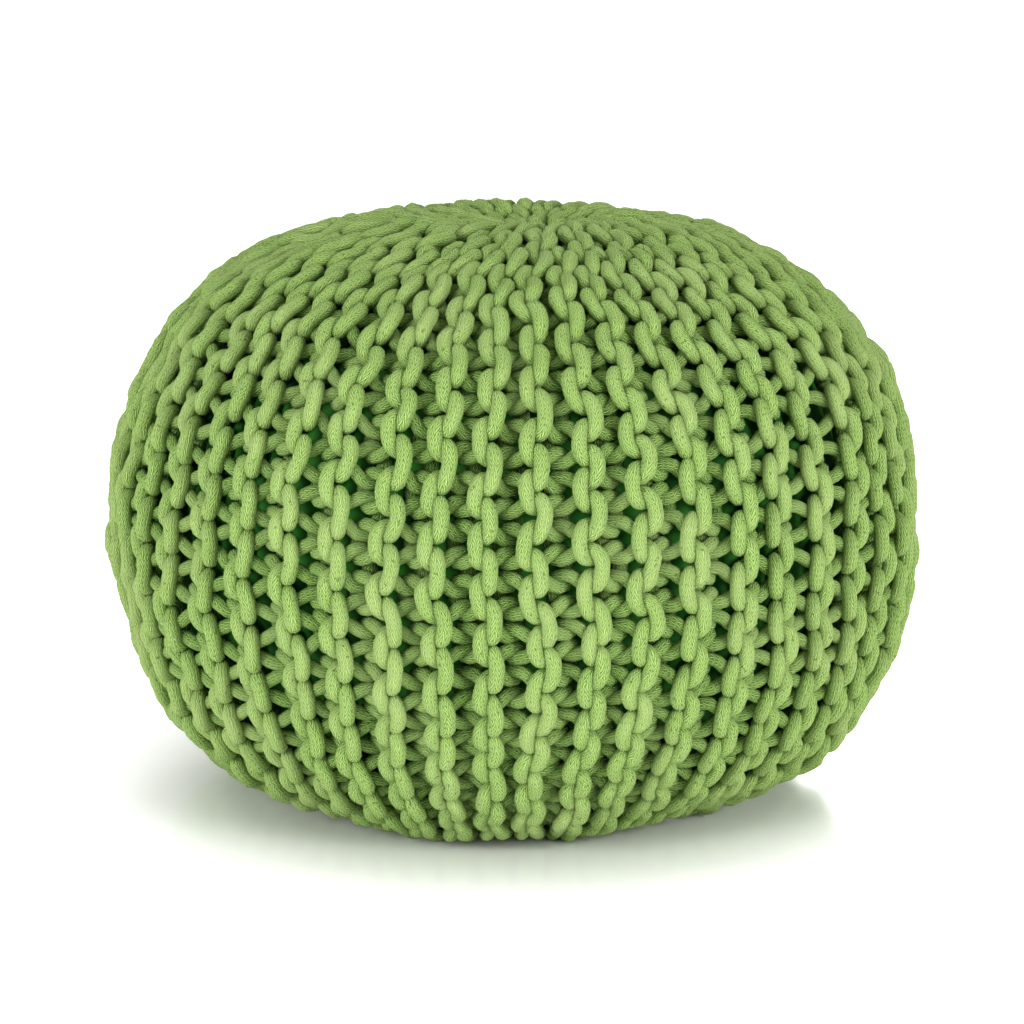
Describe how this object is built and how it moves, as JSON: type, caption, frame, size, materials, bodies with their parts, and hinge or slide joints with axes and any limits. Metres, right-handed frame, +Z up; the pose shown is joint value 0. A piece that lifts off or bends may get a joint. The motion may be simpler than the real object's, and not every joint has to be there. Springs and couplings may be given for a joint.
{
  "type": "round knitted floor pouf",
  "caption": "Round floor pouf with a sideways garter-stitch cover of thick cotton cord, gathered on top, over a filled cloth bag.",
  "frame": {"origin": "middle of the outline's box on the floor, under the flat base", "axes": "+Z up, -Y towards the viewer of the picture, +X to the right, where the gather leans"},
  "size_m": [0.5023, 0.5024, 0.3547],
  "materials": {
    "cord": "matte",
    "bag_cloth": "matte"
  },
  "bodies": {
    "root": {"knitted_cover": "cord", "inner_bag": "bag_cloth"}
  },
  "joints": []
}
